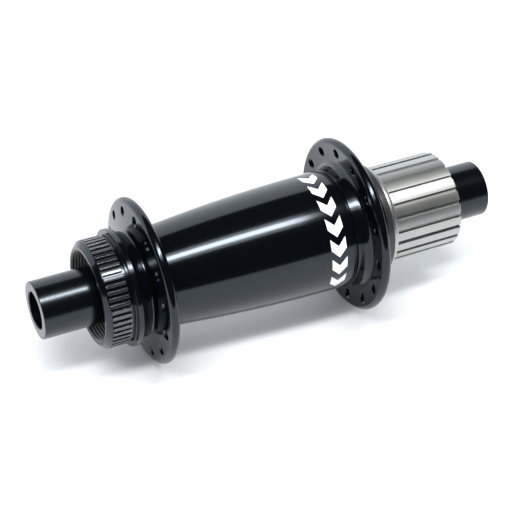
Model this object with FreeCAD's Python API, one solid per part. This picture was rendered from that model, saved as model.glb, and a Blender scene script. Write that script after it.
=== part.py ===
"""Rear bicycle hub for a 12 mm through axle: hub shell with a splined disc-rotor mount, cartridge bearings,
a ratchet-and-pawl drive and a 23-spline freehub body.

Millimetres. The wheel turns about Y: +Y is the disc-rotor side, -Y the drive side, +X forward, +Z up.
The origin is on the axle's axis, midway between the two outer end faces.
"""
import FreeCAD
import Part
import math
import os

# ---- overall -----------------------------------------------------------------------------------------
OVER_LOCKNUT = 157.0        # between the outer faces of the two end caps
AXLE_BORE_R = 6.05          # clears a 12 mm through axle
AXLE_WALL = 1.45
EDGE = 0.3                  # broken edge on turned parts

# ---- axle and end caps -------------------------------------------------------------------------------
JOURNAL_R = AXLE_BORE_R + AXLE_WALL
WAIST_STEP = 1.3            # the thicker middle's shoulders hold the hub shell's bearings apart
CAP_WALL = 1.78
CAP_NOSE = 8.0              # length of each cap that lies beyond the end of the axle
CAP_SLIP = 0.02             # radial slip fit of a cap on the axle
CAP_R = JOURNAL_R + CAP_SLIP + CAP_WALL
SPACER_WALL = 1.5
SPACER_R = JOURNAL_R + SPACER_WALL
ORING_CORD = 0.8
ORING_FROM_AXLE_END = 6.0
RING_RELIEF = 0.02          # an O-ring drawn as seated, clear of its walls by this

# ---- bearings: their bore is the axle's journal ------------------------------------------------------
SHELL_BRG = {"section": 6.5, "width": 7.0, "ball_r": 1.98, "balls": 14,
             "wall_in": 1.8, "wall_out": 1.7, "cage_half": 2.3, "cage_wall": 0.85, "seal": 0.5}
FREEHUB_BRG = {"section": 4.5, "width": 5.0, "ball_r": 1.19, "balls": 20,
               "wall_in": 1.4, "wall_out": 1.4, "cage_half": 1.5, "cage_wall": 0.5, "seal": 0.4}
SHELL_BRG_R = JOURNAL_R + SHELL_BRG["section"]
FREEHUB_BRG_R = JOURNAL_R + FREEHUB_BRG["section"]
BALL_GAP = 0.08             # between a ball and its groove or cage pocket
SEAL_INSET = 0.25
SEAL_GAP = 0.1              # between a seal's lip and the inner race

# ---- hub shell, disc side: lengths run inwards one after another ---------------------------------------
MOUTH_FROM_END = 17.15      # disc end of the hub to the mouth of the rotor spline
SPLINE_LEAD = 1.65          # cone in front of the ribs
SPLINE_LENGTH = 6.4
SEAT_RELIEF = 1.6           # turned relief between ribs and rotor seat
SEAT_STEP = 0.05            # the foot of the rotor seat stands clear of the ribs, so the rotor lies flat
SEAT_STEP_WIDTH = 0.5
SEAT_WIDTH = 1.9
NECK_LENGTH = 5.1           # rotor seat to the flange's outer face, at the spoke holes
DISC_BRG_DEPTH = 9.85       # mouth to the outer face of the bearing
THREAD_STEP = 0.45          # the lockring thread's crests stand this far outside the bearing
THREAD_DEPTH = 0.5
THREAD_PITCH = 1.0
THREAD_LEAD = 0.5           # plain length at a thread's mouth
THREAD_TURNS = 6
THREAD_MOUTH_SHARE = 0.84   # width of a thread groove at its crest, as a share of the pitch
THREAD_ROOT_SHARE = 0.15    # width at its root, as a share of that at its crest
RIM_WALL = 0.81
SPLINE_RISE = 1.74          # from the mouth's rim up to the ribs
RIBS = 52
RIB_DEPTH = 0.95
RIB_SHARE = 0.5             # of the pitch, at the tip
RIB_FLANK_ROOT = 0.72       # a gap between ribs narrows to this share of its width at the root
RIB_FLANK_TOP = 1.12        # and has widened to this share where its cutter leaves the metal
SEAT_RISE = 1.55            # rotor seat above the ribs
NECK_WALL = 2.1
SEAT_FOOT = 1.4             # step at the back of the rotor seat
DISC_ROOT_FILLET = 2.4
DISC_ROOT_HOLLOW = (0.1, 0.45)      # middle of that fillet, from the flange and above the neck, as shares
DISC_INNER_ROOT = 4.0       # height above the barrel at which the flange's inner face ends

# ---- flanges -----------------------------------------------------------------------------------------
DISC_FLANGE_R = 27.2
DISC_HOLE_EDGE = 4.0        # rim to the spoke circle
DRIVE_FLANGE_R = 29.12
DRIVE_HOLE_EDGE = 4.32
FLANGE_THICK = 3.1
FLANGE_LEAN = 0.13          # each flange leans inwards by this share of the radius
SPOKES_PER_FLANGE = 14
SPOKE_HOLE_R = 1.3
SPOKE_SINK = 0.35           # countersink at both faces of a spoke hole
DRILL_OVERRUN = 3.0         # a cutter starts and ends this far outside the metal
RIM_MID = (1 - math.sqrt(0.5)) / 2  # share of the thickness where the half-round rim stands at 45 degrees

# ---- freehub body: lengths run inwards from the drive end ----------------------------------------------
FREEHUB_FROM_END = 14.5
FREEHUB_GROOVE_LENGTH = 23.7
BASE_LEAD = 1.4             # plain length between the grooves and the base ring
BASE_WIDTH = 2.0
SEAL_WIDTH = 1.8            # base ring to the hub shell
RATCHET_DEPTH = 1.2         # hub shell's end to the ratchet ring
RATCHET_WIDTH = 7.6
CARRIER_SHORT = 1.0         # the pawl carrier stops this far short of the ratchet ring's inner face
DRIVE_BRG_GAP = 0.8         # ratchet ring to the hub shell's bearing
FREEHUB_BRG_DEPTH = 8.0     # freehub's end to its outer bearing
FREEHUB_BRG_SPREAD = 7.0    # between the freehub's two bearings
COG_THREAD_STEP = 1.0       # the sprocket lockring's thread crests outside the bearing
COG_THREAD_TURNS = 5
FREEHUB_WALL = 1.44         # between the thread and the bottom of the spline grooves
FREEHUB_SPLINES = 23
FREEHUB_GROOVE_DEPTH = 1.0
FREEHUB_GROOVE_SHARE = 0.27
GROOVE_FLANK_ROOT = 0.8     # width of a groove at its root and where its cutter leaves the metal, as shares
GROOVE_FLANK_TOP = 1.15
BASE_HOLLOW = (0.3, 0.5)    # middle of the hollow below the base ring: share of BASE_LEAD, and height
CIRCLIP_BITE = 0.7          # depth of the circlip in the freehub body
CIRCLIP_RADIAL = 1.6
CIRCLIP_WIDTH = 1.0
CIRCLIP_GAP = 0.1           # play of the circlip in its groove
CIRCLIP_OPEN_DEG = 24

# ---- ratchet and pawls -------------------------------------------------------------------------------
CARRIER_BORE_GAP = 0.6      # carrier to the spacer inside it
CARRIER_WALL = 4.8
TOOTH_GAP = 0.35            # carrier to the tips of the teeth
TOOTH_DEPTH = 0.95
TEETH = 60
TOOTH_UNDERCUT_DEG = 1.1    # a tooth's driving face leans this far over the pawl's tip
TOOTH_PLAY_DEG = 0.25       # between a pawl's tip on its way out and the tip of the tooth that it drives
RATCHET_WALL = 1.5
PAWLS = 4
PAWL_WIDTH = 5.0
PAWL_PIVOT_R = 1.5
PAWL_SINK = 1.8             # pawl pivots lie this far inside the carrier's rim
PAWL_TIP = (6.0, 0.3)       # along the arm and outwards, from the pivot of a folded pawl
PAWL_ARM_OUTER = ((0.0, 1.42), (1.8, 1.12), (4.43, 0.31))       # the arm's top, given as its tip is
PAWL_ARM_INNER = ((5.13, -0.89), (0.5, -1.38))                  # its underside
PAWL_CLEAR = 0.12
POCKET = ((-0.9, 3.0), (7.2, 3.0), (6.5, 0.3), (5.7, -1.5), (0.9, -2.05), (0.0, -1.5), (-0.9, 0.0))
SPRING_THICK = 0.18
SPRING_WIDTH_SHARE = 0.7    # of the pawl's width
SPRING_TOP = ((1.3, -1.93), (2.9, -1.62), (4.9, -1.0))          # the leaf's upper side, from the floor up

# ---- drive end of the hub shell, and barrel ------------------------------------------------------------
DRIVE_FLANGE_SET = 7.3      # hub shell's end to the flange's inner face, at the spoke holes
BOSS_WALL = 2.25            # over the ratchet ring
BOSS_STEP = 1.0             # the boss is this much larger beside the flange
BOSS_STEP_LENGTH = 1.3
BOSS_FILLET = 1.0           # from the flange's outer face down to the boss
DRIVE_INNER_ROOT = 2.2      # height above the barrel at which the flange's inner face ends
DRIVE_ROOT_HOLLOW = (0.32, 0.31)    # middle of that hollow, along and outwards, as shares
BARREL_OVER_RATCHET = 2.35  # the barrel's large end, over the radius of the ratchet seat
BARREL_START_WALL = 2.15    # the barrel's small end, over the bearing
BARREL_WALL = 2.9
BARREL_GROOVE = 0.7         # depth of the groove beside the drive flange
BARREL_GROOVE_WIDTH = 1.5
COLLAR_WIDTH = 1.3          # plain collar between the groove and the hollow beside the flange
BARREL_ROOT = 3.4           # length of the hollow between the disc flange and the barrel's small end
BARREL_ROOT_HOLLOW = (0.9, 1.05)    # a place on it: from the flange, and above the barrel
BARREL_TO_FLANGE = 5.6      # from the barrel's large end to the drive flange
BRG_SHOULDER = 1.1          # height of the shoulder behind each bearing
SHOULDER_WIDTH = 2.0
BORE_CONE = 4.0             # length of the cone behind each shoulder
SEAL_STEP = 1.05            # the seal stands this far below the boss
BASE_STEP = 0.6             # and the base ring this far below the seal
RUN_GAP = 0.15              # running gap of the lip seal and the dust cap
DUST_CAP_WIDTH = 1.4
DUST_CAP_FROM_BRG = 0.5

# ---- sizes that follow -------------------------------------------------------------------------------
THREAD_R = SHELL_BRG_R + THREAD_STEP
RIM_R = THREAD_R + THREAD_DEPTH + RIM_WALL
SPLINE_R = RIM_R + SPLINE_RISE
SEAT_R = SPLINE_R + SEAT_RISE
NECK_R = SHELL_BRG_R + NECK_WALL
BARREL_START_R = SHELL_BRG_R + BARREL_START_WALL
COG_THREAD_R = FREEHUB_BRG_R + COG_THREAD_STEP
FREEHUB_R = COG_THREAD_R + THREAD_DEPTH + FREEHUB_WALL + FREEHUB_GROOVE_DEPTH
CARRIER_BORE_R = SPACER_R + CARRIER_BORE_GAP
CARRIER_R = CARRIER_BORE_R + CARRIER_WALL
TOOTH_TIP_R = CARRIER_R + TOOTH_GAP
TOOTH_ROOT_R = TOOTH_TIP_R + TOOTH_DEPTH
RATCHET_SEAT_R = TOOTH_ROOT_R + RATCHET_WALL
PAWL_CIRCLE_R = CARRIER_R - PAWL_SINK
BOSS_R = RATCHET_SEAT_R + BOSS_WALL
SEAL_R = BOSS_R - SEAL_STEP
BASE_R = SEAL_R - BASE_STEP
BARREL_R = RATCHET_SEAT_R + BARREL_OVER_RATCHET
DISC_BRG_FROM_END = MOUTH_FROM_END + DISC_BRG_DEPTH
DISC_FLANGE_FROM_END = MOUTH_FROM_END + SPLINE_LEAD + SPLINE_LENGTH + SEAT_RELIEF + SEAT_WIDTH + NECK_LENGTH
DISC_SPOKE_PCR = DISC_FLANGE_R - DISC_HOLE_EDGE
DRIVE_SPOKE_PCR = DRIVE_FLANGE_R - DRIVE_HOLE_EDGE
BASE_FROM_END = FREEHUB_FROM_END + FREEHUB_GROOVE_LENGTH + BASE_LEAD
SHELL_END_FROM_END = BASE_FROM_END + BASE_WIDTH + SEAL_WIDTH
RATCHET_FROM_END = SHELL_END_FROM_END + RATCHET_DEPTH
CARRIER_FROM_END = RATCHET_FROM_END + RATCHET_WIDTH - CARRIER_SHORT
DRIVE_BRG_FROM_END = RATCHET_FROM_END + RATCHET_WIDTH + DRIVE_BRG_GAP
DRIVE_FLANGE_FROM_END = SHELL_END_FROM_END + DRIVE_FLANGE_SET
FREEHUB_OUTER_FROM_END = FREEHUB_FROM_END + FREEHUB_BRG_DEPTH
FREEHUB_INNER_FROM_END = FREEHUB_OUTER_FROM_END + FREEHUB_BRG["width"] + FREEHUB_BRG_SPREAD

AXIS = FreeCAD.Vector(0, 1, 0)
ORIGIN = FreeCAD.Vector(0, 0, 0)


# ---- places along the axis ---------------------------------------------------------------------------
def disc(distance):
    """Y of a place measured inwards from the disc end face."""
    return OVER_LOCKNUT / 2 - distance


def drive(distance):
    """Y of a place measured inwards from the drive end face."""
    return -OVER_LOCKNUT / 2 + distance


# ---- solids of revolution ----------------------------------------------------------------------------
def at(y, r):
    """The point at radius r in the half plane that every turned outline is drawn in."""
    return FreeCAD.Vector(r, y, 0)


def turned(*steps):
    """Turns a closed outline of (y, r) points about the axle. A step ((y, r), (y, r)) is an arc: mid, end."""
    here = at(*steps[0])
    edges = []
    for step in list(steps[1:]) + [steps[0]]:
        if isinstance(step[0], tuple):
            middle, end = at(*step[0]), at(*step[1])
            edges.append(Part.Arc(here, middle, end).toShape())
        else:
            end = at(*step)
            if here.distanceToPoint(end) < 1e-7:
                continue
            edges.append(Part.LineSegment(here, end).toShape())
        here = end
    face = Part.Face(Part.Wire(edges))
    solid = face.revolve(ORIGIN, AXIS, 360)
    return solid if solid.Volume > 0 else solid.reversed()


def tube(y_a, y_b, r_in, r_out, edge=0.0):
    """A plain ring between two places on the axis, with its outer edges broken."""
    low, high = min(y_a, y_b), max(y_a, y_b)
    if edge <= 0:
        return turned((low, r_in), (low, r_out), (high, r_out), (high, r_in))
    return turned((low, r_in), (low, r_out - edge), (low + edge, r_out),
                  (high - edge, r_out), (high, r_out - edge), (high, r_in))


def prism(points, y_a, y_b):
    """A prism along the axle from (z, x) points, drawn as seen from the disc side with z up."""
    low, high = min(y_a, y_b), max(y_a, y_b)
    corners = [FreeCAD.Vector(x, low, z) for z, x in points]
    face = Part.Face(Part.makePolygon(corners + corners[:1]))
    return face.extrude(FreeCAD.Vector(0, high - low, 0))


def polar(radius, degrees):
    """(z, x) at an angle turned from +Z towards +X, which is positive about +Y."""
    a = math.radians(degrees)
    return radius * math.cos(a), radius * math.sin(a)


def around(shape, count, start=0.0):
    """Copies of a shape spaced evenly about the axle."""
    copies = []
    for i in range(count):
        copy = shape.copy()
        copy.rotate(ORIGIN, AXIS, start + 360.0 * i / count)
        copies.append(copy)
    return copies


def save(name, *solids):
    """Writes one node; several solids make a group."""
    shape = solids[0] if len(solids) == 1 else Part.makeCompound(list(solids))
    shape.exportStep(os.path.join("parts", name + ".step"))


# ---- cartridge bearing -------------------------------------------------------------------------------
def bearing(name, brg, y):
    """Writes a sealed cartridge bearing centred at y: two races, balls, cage and two seals."""
    half = brg["width"] / 2
    outer_r = JOURNAL_R + brg["section"]
    pitch_r = JOURNAL_R + brg["section"] / 2
    land_in = JOURNAL_R + brg["wall_in"]
    land_out = outer_r - brg["wall_out"]
    room = brg["ball_r"] + BALL_GAP
    channel = Part.makeTorus(pitch_r, room, at(y, 0), AXIS)
    save(name + "_inner_race", tube(y - half, y + half, JOURNAL_R, land_in, EDGE / 2).cut(channel))
    outer = turned((y - half, land_out), (y - half, outer_r - EDGE), (y - half + EDGE, outer_r),
                   (y + half - EDGE, outer_r), (y + half, outer_r - EDGE), (y + half, land_out))
    save(name + "_outer_race", outer.cut(channel))

    place = FreeCAD.Vector(0, y, pitch_r)
    save(name + "_balls", *around(Part.makeSphere(brg["ball_r"], place), brg["balls"]))
    half_cage = brg["cage_half"]
    ring = tube(y - half_cage, y + half_cage, pitch_r - brg["cage_wall"], pitch_r + brg["cage_wall"])
    save(name + "_cage", ring.cut(Part.makeCompound(around(Part.makeSphere(room, place), brg["balls"]))))

    seals = []
    for side in (-1, 1):
        face = y + side * (half - SEAL_INSET)
        seals.append(tube(face, face - side * brg["seal"], land_in + SEAL_GAP, land_out))
    save(name + "_seals", *seals)


# ---- axle, end caps and spacers ----------------------------------------------------------------------
def axle():
    """Hollow axle: two bearing journals, a thicker waist and an O-ring groove near each end."""
    top, bottom = disc(CAP_NOSE), drive(CAP_NOSE)
    waist_top = disc(DISC_BRG_FROM_END + SHELL_BRG["width"])
    waist_bottom = drive(DRIVE_BRG_FROM_END + SHELL_BRG["width"])
    body = turned(
        (bottom, AXLE_BORE_R), (bottom, JOURNAL_R - EDGE), (bottom + EDGE, JOURNAL_R),
        (waist_bottom, JOURNAL_R), (waist_bottom, JOURNAL_R + WAIST_STEP),
        (waist_top, JOURNAL_R + WAIST_STEP), (waist_top, JOURNAL_R),
        (top - EDGE, JOURNAL_R), (top, JOURNAL_R - EDGE), (top, AXLE_BORE_R))
    for y in oring_places():
        body = body.cut(tube(y - ORING_CORD / 2, y + ORING_CORD / 2, JOURNAL_R - ORING_CORD, JOURNAL_R + 1))
    save("axle", body)


def oring_places():
    """Y of the middle of each O-ring."""
    return disc(CAP_NOSE + ORING_FROM_AXLE_END), drive(CAP_NOSE + ORING_FROM_AXLE_END)


def o_ring(name, y):
    """A rubber O-ring seated in its groove, squeezed to the bore of the cap."""
    half = ORING_CORD / 2 - RING_RELIEF
    middle_r = JOURNAL_R + CAP_SLIP - ORING_CORD / 2
    save(name, Part.makeTorus(middle_r - RING_RELIEF, half, at(y, 0), AXIS))


def end_cap(name, face, inward, length):
    """A push-on cap: nose with the axle's bore, then a socket that slips over the axle."""
    step = face + inward * CAP_NOSE
    inner = face + inward * length
    socket = JOURNAL_R + CAP_SLIP
    save(name, turned(
        (face, AXLE_BORE_R + EDGE), (face, CAP_R - EDGE), (face + inward * EDGE, CAP_R),
        (inner - inward * EDGE, CAP_R), (inner, CAP_R - EDGE), (inner, socket),
        (step, socket), (step, AXLE_BORE_R), (face + inward * EDGE, AXLE_BORE_R)))


def spacers():
    """Two tubes that hold the inner races of the freehub's bearings apart."""
    shell_race = drive(DRIVE_BRG_FROM_END)
    inner_near = drive(FREEHUB_INNER_FROM_END + FREEHUB_BRG["width"])
    inner_far = drive(FREEHUB_INNER_FROM_END)
    outer_near = drive(FREEHUB_OUTER_FROM_END + FREEHUB_BRG["width"])
    save("driver_spacer_long", tube(shell_race, inner_near, JOURNAL_R, SPACER_R, EDGE))
    save("driver_spacer_short", tube(inner_far, outer_near, JOURNAL_R, SPACER_R, EDGE))


def dust_cap():
    """A thin ring on the disc end cap that covers the bearing, with a running gap in the hub shell."""
    near = disc(DISC_BRG_FROM_END - DUST_CAP_FROM_BRG)
    save("disc_dust_cap", tube(near, near + DUST_CAP_WIDTH, CAP_R, SHELL_BRG_R - 2 * RUN_GAP, EDGE))


# ---- hub shell ---------------------------------------------------------------------------------------
def flange_outline(face, inward, outer_r, hole_r, root_r_outer, root_r_inner):
    """(y, r) steps over a flange from its outer root, round the rim, to its inner root.

    face is Y of the outer face at the spoke circle, inward the direction to the middle of the hub."""
    def lean(r):
        return face + inward * FLANGE_LEAN * (r - hole_r)
    rim = FLANGE_THICK / 2
    edge_r = outer_r - rim
    back = inward * FLANGE_THICK
    crown = (lean(edge_r) + back / 2, outer_r)
    return [(lean(root_r_outer), root_r_outer),
            (lean(edge_r), edge_r),
            (crown_mid(lean(edge_r), back, edge_r, rim, RIM_MID), crown),
            (crown_mid(lean(edge_r), back, edge_r, rim, 1 - RIM_MID), (lean(edge_r) + back, edge_r)),
            (lean(root_r_inner) + back, root_r_inner)]


def crown_mid(start, back, edge_r, rim, share):
    """A point on the half-round rim of a flange, at a share of its thickness."""
    across = (share - 0.5) * 2 * rim
    return start + back * share, edge_r + math.sqrt(rim * rim - across * across)


def shell_outline():
    """The hub shell's turned outline, from the mouth of the rotor spline round to the bore."""
    mouth = disc(MOUTH_FROM_END)
    ribs_start = mouth - SPLINE_LEAD
    ribs_end = ribs_start - SPLINE_LENGTH
    seat = ribs_end - SEAT_RELIEF
    seat_back = seat - SEAT_WIDTH
    relief_r = SPLINE_R - RIB_DEPTH
    foot_r = NECK_R + SEAT_FOOT
    steps = [(mouth, THREAD_R + THREAD_DEPTH), (mouth, RIM_R), (ribs_start, SPLINE_R),
             (ribs_end, SPLINE_R), (ribs_end, relief_r), (seat + SEAT_STEP_WIDTH, relief_r),
             (seat + SEAT_STEP_WIDTH, SPLINE_R + SEAT_STEP), (seat, SPLINE_R + SEAT_STEP),
             (seat, SEAT_R - EDGE), (seat - EDGE, SEAT_R), (seat_back, SEAT_R),
             (seat_back - EDGE, SEAT_R - EDGE), (seat_back - EDGE, foot_r),
             (seat_back - SEAT_FOOT - EDGE, foot_r), (seat_back - SEAT_FOOT - EDGE * 2, NECK_R)]

    disc_flange = flange_outline(disc(DISC_FLANGE_FROM_END), -1, DISC_FLANGE_R, DISC_SPOKE_PCR,
                                 NECK_R + DISC_ROOT_FILLET, BARREL_START_R + DISC_INNER_ROOT)
    root = disc_flange[0]
    set_out, rise = (DISC_ROOT_FILLET * share for share in DISC_ROOT_HOLLOW)
    steps.append((root[0] + rise, NECK_R))
    steps.append(((root[0] + set_out, NECK_R + rise), root))
    steps += disc_flange[1:]
    barrel_a = disc_flange[-1][0] - BARREL_ROOT
    set_out, rise = BARREL_ROOT_HOLLOW
    steps.append(((disc_flange[-1][0] - set_out, BARREL_START_R + rise), (barrel_a, BARREL_START_R)))

    flange_inner = drive(DRIVE_FLANGE_FROM_END)
    barrel_b = flange_inner + BARREL_TO_FLANGE
    barrel_mid = (barrel_a + barrel_b) / 2
    groove_end = barrel_b - BARREL_GROOVE_WIDTH
    collar_end = groove_end - COLLAR_WIDTH
    steps.append(((barrel_mid, barrel_radius(barrel_mid, barrel_a, barrel_b)), (barrel_b, BARREL_R)))
    steps += [(barrel_b - EDGE, BARREL_R - BARREL_GROOVE), (groove_end + EDGE, BARREL_R - BARREL_GROOVE),
              (groove_end, BARREL_R), (collar_end, BARREL_R)]
    drive_flange = walked_back(flange_outline(flange_inner - FLANGE_THICK, 1, DRIVE_FLANGE_R, DRIVE_SPOKE_PCR,
                                              BOSS_R + BOSS_STEP + BOSS_FILLET, BARREL_R + DRIVE_INNER_ROOT))
    root = drive_flange[0]
    along, outwards = DRIVE_ROOT_HOLLOW
    steps.append(((root[0] + (collar_end - root[0]) * along, BARREL_R + DRIVE_INNER_ROOT * outwards), root))
    steps += drive_flange[1:]

    shell_end = drive(SHELL_END_FROM_END)
    boss_root = drive_flange[-1][0]
    step_end = boss_root - BOSS_FILLET - BOSS_STEP_LENGTH
    step_r = BOSS_R + BOSS_STEP
    steps.append(((boss_root - EDGE, step_r + EDGE), (boss_root - BOSS_FILLET, step_r)))
    steps += [(step_end + EDGE, step_r), (step_end, step_r - EDGE), (step_end, BOSS_R),
              (shell_end + EDGE, BOSS_R), (shell_end, BOSS_R - EDGE)]
    return steps + shell_bore(shell_end)


def walked_back(steps):
    """The same flange outline from its inner root to its outer root."""
    points = [steps[0], steps[1], steps[2][1], steps[3][1], steps[4]]
    return [points[4], points[3], (steps[3][0], points[2]), (steps[2][0], points[1]), points[0]]


def barrel_radius(y, y_small, y_large):
    """Radius of the barrel, a shallow arc that runs level at its large end."""
    share = (y - y_large) / (y_small - y_large)
    return BARREL_R - (BARREL_R - BARREL_START_R) * share * share


def shell_bore(shell_end):
    """The bore's steps from the drive end back to the mouth: ratchet seat, bearing seats, hollow barrel."""
    drive_shoulder = drive(DRIVE_BRG_FROM_END + SHELL_BRG["width"])
    disc_shoulder = disc(DISC_BRG_FROM_END + SHELL_BRG["width"])
    ratchet_back = drive(RATCHET_FROM_END + RATCHET_WIDTH)
    shoulder_r = SHELL_BRG_R - BRG_SHOULDER
    wide_start = drive_shoulder + SHOULDER_WIDTH + BORE_CONE
    narrow_start = disc_shoulder - SHOULDER_WIDTH - BORE_CONE
    return [(shell_end, RATCHET_SEAT_R), (ratchet_back, RATCHET_SEAT_R), (ratchet_back, SHELL_BRG_R),
            (drive_shoulder, SHELL_BRG_R), (drive_shoulder, shoulder_r),
            (drive_shoulder + SHOULDER_WIDTH, shoulder_r), (wide_start, BARREL_R - BARREL_WALL),
            ((wide_start + narrow_start) / 2, BARREL_R - BARREL_WALL),
            (narrow_start, BARREL_START_R - BARREL_WALL),
            (disc_shoulder - SHOULDER_WIDTH, shoulder_r), (disc_shoulder, shoulder_r),
            (disc_shoulder, SHELL_BRG_R), (thread_end() - THREAD_DEPTH, SHELL_BRG_R),
            (thread_end(), THREAD_R)]


def thread_end():
    """Y of the inner end of the lockring thread."""
    return disc(MOUTH_FROM_END + THREAD_LEAD + THREAD_TURNS * THREAD_PITCH)


def thread_cut(y_start, direction, crest_r, turns):
    """Ring-shaped V grooves that stand for a fine thread, cut from its mouth inwards."""
    cuts = []
    for i in range(turns):
        y = y_start + direction * (THREAD_LEAD + (i + 0.5) * THREAD_PITCH)
        half = THREAD_PITCH * THREAD_MOUTH_SHARE / 2
        narrow = half * THREAD_ROOT_SHARE
        inside = crest_r - THREAD_DEPTH / 10
        cuts.append(turned((y - half, inside), (y + half, inside),
                           (y + narrow, crest_r + THREAD_DEPTH), (y - narrow, crest_r + THREAD_DEPTH)))
    return Part.makeCompound(cuts)


def rib_cut():
    """The grooves between the ribs of the rotor spline."""
    pitch = 360.0 / RIBS
    wide = pitch * (1 - RIB_SHARE) / 2
    narrow = wide * RIB_FLANK_ROOT
    top = wide * RIB_FLANK_TOP
    root = SPLINE_R - RIB_DEPTH
    outline = [polar(root, -narrow), polar(SPLINE_R + 1, -top), polar(SPLINE_R + 1, top), polar(root, narrow)]
    front = disc(MOUTH_FROM_END) + 1
    back = disc(MOUTH_FROM_END + SPLINE_LEAD + SPLINE_LENGTH) - (SEAT_RELIEF - SEAT_STEP_WIDTH) / 2
    return Part.makeCompound(around(prism(outline, front, back), RIBS, pitch / 2))


def spoke_holes(y_face, inward, circle_r, start):
    """Drilled and countersunk spoke holes through one flange."""
    outside = y_face - inward * DRILL_OVERRUN
    through = FLANGE_THICK + 2 * DRILL_OVERRUN
    drill = Part.makeCylinder(SPOKE_HOLE_R, through, FreeCAD.Vector(0, outside, circle_r),
                              FreeCAD.Vector(0, inward, 0))
    tools = [drill]
    for place, way in ((y_face, inward), (y_face + inward * FLANGE_THICK, -inward)):
        mouth = FreeCAD.Vector(0, place - way * SPOKE_SINK, circle_r)
        tools.append(Part.makeCone(SPOKE_HOLE_R + SPOKE_SINK * 2, SPOKE_HOLE_R, SPOKE_SINK * 2, mouth,
                                   FreeCAD.Vector(0, way, 0)))
    tool = tools[0].fuse(tools[1:])
    return around(tool, SPOKES_PER_FLANGE, start)


def hub_shell():
    """One turned piece with both flanges, the rotor spline and the seats for bearings and ratchet."""
    shell = turned(*shell_outline())
    shell = shell.cut(thread_cut(disc(MOUTH_FROM_END), -1, THREAD_R, THREAD_TURNS))
    shell = shell.cut(rib_cut())
    holes = spoke_holes(disc(DISC_FLANGE_FROM_END), -1, DISC_SPOKE_PCR, 0)
    holes += spoke_holes(drive(DRIVE_FLANGE_FROM_END), -1, DRIVE_SPOKE_PCR, 180.0 / SPOKES_PER_FLANGE)
    shell = shell.cut(Part.makeCompound(holes))
    save("hub_shell", shell)


# ---- ratchet and pawls -------------------------------------------------------------------------------
def tooth_lead():
    """Angle from a pawl's pivot to the tooth it drives: where its tip passes the tips of the teeth."""
    reach = math.hypot(*PAWL_TIP)
    rise = TOOTH_TIP_R ** 2 - PAWL_CIRCLE_R ** 2 - reach ** 2
    lean = math.asin(rise / (2 * PAWL_CIRCLE_R * reach))
    passing = math.atan2(reach * math.cos(lean), PAWL_CIRCLE_R + reach * math.sin(lean))
    return math.degrees(passing) + TOOTH_PLAY_DEG


def ratchet_ring():
    """Steel ring pressed into the hub shell: each tooth has an undercut face and a slope to the next tip."""
    far = drive(RATCHET_FROM_END + RATCHET_WIDTH)
    near = drive(RATCHET_FROM_END)
    outline = []
    for i in range(TEETH):
        face = tooth_lead() - i * 360.0 / TEETH
        outline += [polar(TOOTH_TIP_R, face), polar(TOOTH_ROOT_R, face - TOOTH_UNDERCUT_DEG)]
    ring = tube(far, near, TOOTH_TIP_R - 1, RATCHET_SEAT_R, EDGE)
    save("ratchet_ring", ring.cut(prism(outline, far + 1, near - 1)))


def pawl_middle():
    """Y of the middle of the pawls."""
    return drive(RATCHET_FROM_END + RATCHET_WIDTH / 2)


def in_pawl_frame(points):
    """(z, x) of points given along (tangent, outward) from a pawl's pivot, for the pawl at +Z."""
    return [(PAWL_CIRCLE_R + out, along) for along, out in points]


def pawl_blank():
    """A pawl folded under the teeth, with its pivot at +Z and its tip towards +X."""
    y = pawl_middle()
    low, high = y - PAWL_WIDTH / 2, y + PAWL_WIDTH / 2
    arm = in_pawl_frame(PAWL_ARM_OUTER + (PAWL_TIP,) + PAWL_ARM_INNER)
    barrel = Part.makeCylinder(PAWL_PIVOT_R, PAWL_WIDTH, FreeCAD.Vector(0, low, PAWL_CIRCLE_R), AXIS)
    return barrel.fuse(prism(arm, low, high)).removeSplitter()


def pawl_pocket():
    """The pocket in the carrier that holds a folded pawl and its spring, open to the teeth."""
    y = pawl_middle()
    low, high = y - PAWL_WIDTH / 2 - PAWL_CLEAR, y + PAWL_WIDTH / 2 + PAWL_CLEAR
    room = in_pawl_frame(POCKET)
    pivot = FreeCAD.Vector(0, low, PAWL_CIRCLE_R)
    socket = Part.makeCylinder(PAWL_PIVOT_R + PAWL_CLEAR, high - low, pivot, AXIS)
    return socket.fuse(prism(room, low, high))


def pawl_spring():
    """A bent leaf under a pawl, from the pocket's floor up to the pawl's arm."""
    y = pawl_middle()
    half = PAWL_WIDTH * SPRING_WIDTH_SHARE / 2
    foot, bend, end = SPRING_TOP
    under = [(along + SPRING_THICK / 2, out - SPRING_THICK) for along, out in (end, bend)]
    return prism(in_pawl_frame([foot, bend, end] + under), y - half, y + half)


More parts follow.
